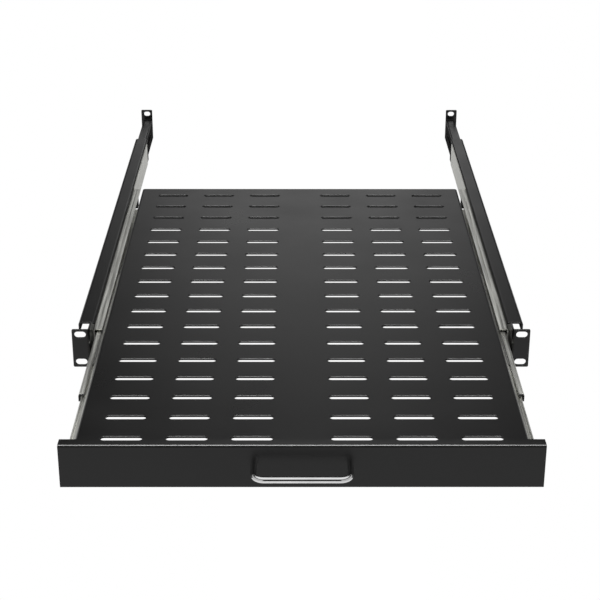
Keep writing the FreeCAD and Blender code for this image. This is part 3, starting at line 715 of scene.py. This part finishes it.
def makeIntermediateMembers():
    lo = boxOf("right_intermediate_lower_lip")[0]
    hi = boxOf("right_intermediate_upper_lip")[1]
    ups = slideMiddle + slide["notchHalf"] * np.array([-1, 1])
    line, normals = slideSection(hi[0], lo[0], hi[2], lo[2], groovedLip, ups)
    ys = np.array([lo[1], lo[1] + slide["notchLength"], hi[1]])
    present = np.ones((len(line) - 1, 2), bool)
    level = abs((line[:-1, 1] + line[1:, 1]) / 2 - slideMiddle)
    present[(level < slide["notchHalf"]) & (line[:-1, 0] == line[1:, 0]), 0] = False
    patches = sheetPatches(line, normals, ys, slide["wall"], carriedAlongY, present)
    makePair("IntermediateMember", patches, "zinc_slide", "right_intermediate", channelNodes("intermediate"),
             slide["softEdge"])


def makeInnerMembers():
    lo = boxOf("right_inner_lower_lip")[0]
    hi = boxOf("right_inner_upper_lip")[1]
    screwLo, screwHi = boxOf("right_inner_screws")
    places = np.linspace(screwLo[1] + slide["screwInset"], screwHi[1] - slide["screwInset"], slide["screws"])
    ups = aboutHole(slideMiddle, 0, slide["holeRoom"])
    line, normals = slideSection(lo[0], hi[0], hi[2], lo[2], deepLip, ups)
    ys = stations([lo[1], hi[1]], *[aboutHole(y, 0, slide["holeRoom"]) for y in places])
    holes = slideHoles(line, ys, lo[0], places)
    patches = sheetPatches(line, normals, ys, slide["wall"], carriedAlongY, None, holes)
    makePair("InnerMember", patches, "zinc_slide", "shelf", channelNodes("inner"), slide["softEdge"])
    return places


makeOuterMembers()
makeIntermediateMembers()
screwPlaces = makeInnerMembers()

# ball cages and balls
cage = {
    "wall": 0.5,
    "bend": 0.5,
    "hole": 3.3,
    "holeRoom": 1.85,
    "margin": 15.0,           # from the cage's end to the middle of the first ball
    "inRow": 5,
    "ball": 1.5,              # radius
    "ballSteps": 17,
    "ballRound": 28,
}


def makeBearings(which):
    lo, hi = boxOf("right_%s_cage" % which)
    ballLo, ballHi = boxOf("right_%s_balls" % which)
    ballX = (ballLo[0] + ballHi[0]) / 2
    ys = np.linspace(lo[1] + cage["margin"], hi[1] - cage["margin"], cage["inRow"])
    line, normals = bentLine([(lo[0], hi[2]), (hi[0], hi[2]), (hi[0], lo[2]), (lo[0], lo[2])], cage["bend"], -1)
    xs = aboutHole(ballX, 0, cage["holeRoom"])
    upper = np.stack([xs, np.full(len(xs), hi[2])], 1)
    lower = np.stack([xs[::-1], np.full(len(xs), lo[2])], 1)
    line = np.concatenate([line[:1], upper, line[1:-1], lower, line[-1:]])
    normals = np.concatenate([normals[:1], np.tile(normals[0], (len(xs), 1)), normals[1:-1],
                              np.tile(normals[-1], (len(xs), 1)), normals[-1:]])
    along = stations([lo[1], hi[1]], *[aboutHole(y, 0, cage["holeRoom"]) for y in ys])
    room = cage["holeRoom"]
    slots = [holeBlock(line, along, (ballX - room, z), (ballX + room, z), y - room, y + room,
                       cage["hole"], cage["hole"]) for y in ys for z in (lo[2], hi[2])]
    patches = sheetPatches(line, normals, along, cage["wall"], carriedAlongY, None, slots)
    body = "right_%s_bearing" % which
    makePair(which.capitalize() + "Cage", patches, "cage_steel", body, ["right_%s_cage" % which])
    r = cage["ball"]
    angle = np.linspace(-90, 90, cage["ballSteps"]) * math.pi / 180
    profile = np.stack([r * np.cos(angle), r * np.sin(angle)], 1)
    rise = [ballLo[2] + r, ballHi[2] - r]
    balls = [turnedPatch(profile, (ballX, y, z), "x", cage["ballRound"]) for y in ys for z in rise]
    makePair(which.capitalize() + "Balls", balls, "ball_steel", body, ["right_%s_balls" % which])


makeBearings("outer")
makeBearings("inner")

# bow handle: a round bar along two legs, two quarter bends and the cross bar
handle = {"bar": 3.0, "bend": 10.0, "round": 36, "bendSteps": 14}  # radii of the bar and its bends


def makeHandle():
    lo, hi = boxOf("handle")
    r, bend = handle["bar"], handle["bend"]
    leg, front = hi[0] - r, lo[1] + r
    corners = [(-leg, hi[1]), (-leg, front), (leg, front), (leg, hi[1])]
    path, normals = bentLine(corners, bend, 1, handle["bendSteps"])
    level = (lo[2] + hi[2]) / 2
    angle = np.linspace(0, 2 * math.pi, handle["round"], endpoint=False)
    # each ring stands square to the path: its two axes are the path's normal and the upright
    across = path[:, None, :] + r * np.cos(angle)[None, :, None] * normals[:, None, :]
    up = np.broadcast_to(level + r * np.sin(angle), across.shape[:2])
    rings = np.concatenate([across, up[..., None]], 2)
    ends = [np.broadcast_to(rings[k].mean(0), rings[k].shape)[None] for k in (0, -1)]
    rings = np.concatenate([ends[0], rings, ends[1]])
    makePiece("bowHandle", [gridPatch(rings, closeColumns=True)], "chrome", "shelf", ["handle"])
    print("handle ready")


makeHandle()

# fasteners
screw = {
    "head": 3.5,              # radius
    "height": 2.2,
    "arm": 0.15,              # the cross is in shares of the head's radius
    "armLength": 0.52,
    "armMiddle": 0.34,
    "armWall": 0.02,          # half the run of the cross's walls
    "endWall": 0.03,
    "rimStart": 0.1,          # the outer stations begin this far past the cross
    "rimSteps": 9,
    "square": 0.58,           # the grid is square up to here
    "recess": 1.2,
    "recessFade": 0.8,
    "tipCut": 0.4,
    "tipLength": 0.5,
    "round": 32,
    "handleShank": 1.5,
    "slideShank": 2.0,
}


# a pan head on a square grid drawn out to a circle towards its rim, with a cross pressed into it.
# The height falls as the root of one less the fourth power of the radius.
def screwPatches(centre, axis, shank, length):
    arm, armEnd = screw["arm"], screw["armLength"]
    inner = [0.0, arm - screw["armWall"], arm + screw["armWall"], screw["armMiddle"],
             armEnd - screw["endWall"], armEnd + screw["endWall"]]
    half = np.concatenate([inner, np.linspace(armEnd + screw["rimStart"], 1, screw["rimSteps"])])
    marks = np.unique(np.concatenate([-half, half]))
    u, v = np.meshgrid(marks, marks, indexing="ij")
    m = np.maximum(abs(u), abs(v))
    draw = np.clip((m - screw["square"]) / (1 - screw["square"]), 0, 1)
    pull = 1 + draw * (m / np.maximum(np.hypot(u, v), tiny) - 1)
    u, v = u * pull, v * pull
    r = np.minimum(np.hypot(u, v), 1)
    high = screw["height"] * np.sqrt(1 - r ** 4)
    cross = (np.minimum(abs(u), abs(v)) < arm) & (m < armEnd)
    high = high - screw["recess"] * (1 - screw["recessFade"] * m) * cross
    faces = []
    for level in (high, np.zeros_like(high)):
        flat = screw["head"] * u, screw["head"] * v
        parts = {"x": (level, *flat), "y": (flat[0], level, flat[1])}[axis]
        faces.append(gridPatch(np.stack(parts, -1) + np.array(centre, float)))
    profile = [(0, -length), (shank - screw["tipCut"], -length), (shank, screw["tipLength"] - length),
               (shank, 0), (0, 0)]
    return faces + [turnedPatch(profile, centre, axis, screw["round"])]


def makeHandleScrews():
    lo, hi = boxOf("handle_screws")
    back = hi[1] - screw["height"]
    middle = (lo[2] + hi[2]) / 2
    patches = []
    for x in (lo[0] + screw["head"], hi[0] - screw["head"]):
        patches += screwPatches((x, back, middle), "y", screw["handleShank"], back - lo[1])
    makePiece("handleScrews", patches, "zinc_screw", "shelf", ["handle_screws"])


def makeInnerScrews():
    lo, hi = boxOf("right_inner_screws")
    seat = hi[0] - screw["height"]
    patches = []
    for y in screwPlaces:
        patches += screwPatches((seat, y, slideMiddle), "x", screw["slideShank"], seat - lo[0])
    makePair("InnerScrews", patches, "zinc_screw", "shelf", ["right_inner_screws"])


makeHandleScrews()
makeInnerScrews()

rivet = {"shank": 2.0, "head": 4.0, "domeSteps": 9}


def makeRivets():
    lo, hi = boxOf("right_outer_rivets")
    seat = boxOf("right_front_bracket")[0][0] + rail["wall"]
    angle = np.linspace(0, 90, rivet["domeSteps"]) * math.pi / 180
    dome = np.stack([rivet["head"] * np.cos(angle), seat + (hi[0] - seat) * np.sin(angle)], 1)
    profile = np.concatenate([[(0, lo[0]), (rivet["shank"], lo[0]), (rivet["shank"], seat)], dome])
    patches = [turnedPatch(profile, (0, y, slideMiddle), "x") for y in rivetPlaces]
    makePair("OuterRivets", patches, "zinc_screw", "rails", ["right_outer_rivets"])


makeRivets()

stud = {"radius": 2.5, "pitch": 0.8, "cut": 0.32, "plain": 2.4, "tip": 0.6, "tipCut": 0.5, "round": 32}


def makeStuds():
    lo, hi = boxOf("right_adjust_studs")
    start, end = lo[0] + stud["plain"], hi[0] - stud["tip"]
    turns = int((end - start) / stud["pitch"])
    places = start + stud["pitch"] * np.arange(2 * turns + 1) / 2
    radii = stud["radius"] - stud["cut"] * (np.arange(2 * turns + 1) % 2)
    body = np.stack([radii, places], 1)
    profile = np.concatenate([[(0, lo[0]), (stud["radius"], lo[0])], body,
                              [(stud["radius"] - stud["tipCut"], hi[0]), (0, hi[0])]])
    patches = [turnedPatch(profile, (0, y, slideMiddle), "x", stud["round"]) for y in studPlaces]
    makePair("AdjustStuds", patches, "zinc_screw", "rails", ["right_adjust_studs"])


nut = {"half": 4.0, "bore": 2.6, "chamfer": 0.35, "face": 0.96, "cone": 0.55, "steps": 72}


# hexagon nut as rings about the stud: the flats are at half the width over the cosine of the angle from their middle
def makeNuts():
    lo, hi = boxOf("right_adjust_nuts")
    angle = np.arange(nut["steps"]) * 2 * math.pi / nut["steps"]
    fromFlat = (angle + math.pi / 6) % (math.pi / 3) - math.pi / 6
    hexagon = nut["half"] / np.cos(fromFlat)
    circle = np.full(nut["steps"], nut["half"] * nut["face"])
    bore = np.full(nut["steps"], nut["bore"])
    # the corners are cut by a cone, so they stand lower than the flats' middles
    drop = (hexagon - circle) * nut["cone"]
    flush, chamfer = 0 * drop, nut["chamfer"]
    high = flush + hi[0] - lo[0]
    rings = [(bore, flush + chamfer), (bore + chamfer, flush), (circle, flush), (hexagon, drop),
             (hexagon, high - drop), (circle, high), (bore + chamfer, high), (bore, high - chamfer)]
    patches = []
    for y in studPlaces:
        rows = [np.stack([lo[0] + level, y + r * np.cos(angle), slideMiddle + r * np.sin(angle)], 1)
                for r, level in rings]
        patches.append(gridPatch(np.stack(rows), closeRows=True, closeColumns=True))
    makePair("AdjustNuts", patches, "zinc_screw", "rails", ["right_adjust_nuts"])


makeStuds()
makeNuts()

# rubber stops in the outer members
bumper = {"softEdge": 1.2, "segments": 5}


def makeBumpers():
    lo, hi = boxOf("right_bumper")
    line = np.array([(lo[0], lo[2]), (lo[0], hi[2])])
    normals = np.tile([1.0, 0.0], (2, 1))
    patches = sheetPatches(line, normals, np.array([lo[1], hi[1]]), hi[0] - lo[0], carriedAlongY)
    makePair("Bumper", patches, "rubber_stop", "rails", ["right_bumper"], bumper["softEdge"], bumper["segments"])


makeBumpers()

# black strips on the front ends of the intermediate members, which make those ends dark: a bent strip over the upper
# corner of the channel
endStrip = {"length": 1.6, "clear": 0.4, "bend": 1.8, "softEdge": 0.2}


def makeEndStrips():
    lo, hi = boxOf("right_intermediate_upper_lip")
    inner = boxOf("right_inner_upper_lip")[1]
    foot = slideMiddle + slide["notchHalf"]
    line, normals = bentLine([(lo[0], hi[2]), (hi[0], hi[2]), (hi[0], foot)], endStrip["bend"], -1)
    wall = min(hi[2] - inner[2], hi[0] - inner[0]) - endStrip["clear"]
    patches = sheetPatches(line, normals, np.array([lo[1] - endStrip["length"], lo[1]]), wall, carriedAlongY)
    makePair("EndStrip", patches, "rubber_stop", "right_intermediate", [], endStrip["softEdge"])


makeEndStrips()

# light, in metres: a lamp high over the shelf, a low window behind it, a glow from the sides and the ceiling, a floor
# that the camera doesn't see, and a card for the slides. The room's places are parts of a direction.
light = {
    "lampPlace": (0, -0.8, 4.0),
    "lampSize": (2.0, 1.4),
    "lampPower": 275,
    "cardPlace": (0, 2.1, -0.9),
    "cardSize": (1.6, 1.6),
    "cardPower": 4.2,
    "skyBase": 0.012,
    "ceiling": (0.70, 0.85),  # the ceiling comes up between these heights
    "ceilingGlow": 0.85,
    "skyReach": (0.255, 0.525),  # the window fades upwards between these heights
    "windowMiddle": 0.018,
    "windowReach": (0.06, 0.185),  # and to the sides between these two
    "windowBehind": (0.1, 0.8),  # and comes up between these, towards the rear
    "sideShift": 0.2,         # behind the shelf the sides begin this much further out
    "sideTurn": (-0.2, 0.2),  # between these two, from the viewer's side to the rear
    "sideReach": (0.08, 0.30),
    "sideTop": (0.40, 0.72),
    "sideGlow": 0.5,
    "floorLevel": -1.0,
    "floorHalf": 30.0,
    "floorColour": 0.35,
    "floorRough": 0.9,
    "floorShine": 0.24,       # glow of the floor in reflections
    "floorFade": (0.0, 1.0),  # behind the shelf the floor darkens between these two
    "floorReturn": (6.0, 8.0),  # and is pale again past these
    "floorAside": (0.9, 1.5),  # as it is to the sides
}


def mathNode(nodes, links, kind, *values):
    node = nodes.new("ShaderNodeMath")
    node.operation = kind
    for socket, value in zip(node.inputs, values):
        if isinstance(value, (int, float)):
            socket.default_value = value
        else:
            links.new(value, socket)
    return node.outputs["Value"]


def smoothStep(nodes, links, value, start, end):
    ramp = nodes.new("ShaderNodeMapRange")
    ramp.interpolation_type = "SMOOTHSTEP"
    ramp.inputs["From Min"].default_value = start
    ramp.inputs["From Max"].default_value = end
    links.new(value, ramp.inputs["Value"])
    return ramp.outputs["Result"]


def axesOf(nodes, links, which):
    where = nodes.new("ShaderNodeTexCoord")
    axes = nodes.new("ShaderNodeSeparateXYZ")
    links.new(where.outputs[which], axes.inputs["Vector"])
    return axes.outputs["X"], axes.outputs["Y"], axes.outputs["Z"]


def makeWorld():
    world = bpy.data.worlds.new("paleRoom")
    bpy.context.scene.world = world
    world.use_nodes = True
    nodes, links = world.node_tree.nodes, world.node_tree.links
    calc, step = partial(mathNode, nodes, links), partial(smoothStep, nodes, links)
    x, y, z = axesOf(nodes, links, "Generated")
    above = step(z, *light["skyReach"])
    aside = calc("ABSOLUTE", calc("SUBTRACT", x, light["windowMiddle"]))
    beside = step(aside, *light["windowReach"])
    behind = step(y, *light["windowBehind"])
    glow = calc("MULTIPLY", behind, calc("SUBTRACT", 1.0, above))
    glow = calc("MULTIPLY", glow, calc("SUBTRACT", 1.0, beside))
    glow = calc("ADD", glow, light["skyBase"])
    # to the sides the room glows as well, nearer to the middle on the viewer's side than behind the shelf
    outward = step(y, *light["sideTurn"])
    outward = calc("MULTIPLY", outward, light["sideShift"])
    outward = calc("SUBTRACT", calc("ABSOLUTE", x), outward)
    sides = step(outward, *light["sideReach"])
    low = calc("SUBTRACT", 1.0, step(z, *light["sideTop"]))
    sides = calc("MULTIPLY", sides, low)
    glow = calc("MULTIPLY_ADD", sides, light["sideGlow"], glow)
    overhead = step(z, *light["ceiling"])
    glow = calc("MULTIPLY_ADD", overhead, light["ceilingGlow"], glow)
    path = nodes.new("ShaderNodeLightPath")
    seen = calc("MAXIMUM", glow, path.outputs["Is Camera Ray"])
    links.new(seen, nodes["Background"].inputs["Strength"])
    nodes["Background"].inputs["Color"].default_value = (1, 1, 1, 1)


def makeFloor():
    half, level = light["floorHalf"], light["floorLevel"]
    mesh = bpy.data.meshes.new("paleFloor")
    corners = [(-half, -half, level), (half, -half, level), (half, half, level), (-half, half, level)]
    mesh.from_pydata(corners, [], [(0, 1, 2, 3)])
    ground = bpy.data.objects.new("paleFloor", mesh)
    bpy.context.collection.objects.link(ground)
    mat, nodes, links, shader = newMaterial("paleFloor")
    calc, step = partial(mathNode, nodes, links), partial(smoothStep, nodes, links)
    shader.inputs["Roughness"].default_value = light["floorRough"]
    shader.inputs["Specular IOR Level"].default_value = 0.0
    x, y = axesOf(nodes, links, "Object")[:2]
    dim = step(y, *light["floorFade"])
    across = calc("ABSOLUTE", x)
    for place, reach in ((y, light["floorReturn"]), (across, light["floorAside"])):
        rest = calc("SUBTRACT", 1.0, step(place, *reach))
        dim = calc("MULTIPLY", dim, rest)
    near = calc("SUBTRACT", 1.0, dim)
    links.new(calc("MULTIPLY", near, light["floorColour"]), shader.inputs["Base Color"])
    path = nodes.new("ShaderNodeLightPath")
    shine = calc("MAXIMUM", path.outputs["Is Glossy Ray"], path.outputs["Is Transmission Ray"])
    shine = calc("MULTIPLY", shine, calc("MULTIPLY", near, light["floorShine"]))
    links.new(shine, shader.inputs["Emission Strength"])
    shader.inputs["Emission Color"].default_value = (1, 1, 1, 1)
    mesh.materials.append(mat)
    ground.visible_camera = False


def areaLight(name, place, size, power):
    data = bpy.data.lights.new(name, "AREA")
    data.shape = "RECTANGLE"
    data.size, data.size_y = size
    data.energy = power
    lamp = bpy.data.objects.new(name, data)
    lamp.location = place
    bpy.context.collection.objects.link(lamp)
    return lamp


def makeLamp():
    lamp = areaLight("longLamp", light["lampPlace"], light["lampSize"], light["lampPower"])
    # the lamp leaves out the handle, whose bar would throw a streak of it on the panel
    leftOut = bpy.data.collections.new("leftOut")
    leftOut.objects.link(bpy.data.objects["bowHandle"])
    lamp.light_linking.receiver_collection = leftOut
    leftOut.collection_objects[0].light_linking.link_state = "EXCLUDE"


# a pale card low behind the shelf, only for the outer members, whose inner faces mirror it
def makeCard():
    card = areaLight("slideCard", light["cardPlace"], light["cardSize"], light["cardPower"])
    card.rotation_euler = (-Vector(light["cardPlace"])).to_track_quat("-Z", "Y").to_euler()
    card.visible_camera = False
    members = bpy.data.collections.new("outerMembers")
    for side in ("right", "left"):
        members.objects.link(bpy.data.objects[side + "OuterMember"])
    card.light_linking.receiver_collection = members


makeWorld()
makeFloor()
makeLamp()
makeCard()
makeCamera()
print("light and camera ready")
bpy.context.scene.view_settings.view_transform = "Standard"
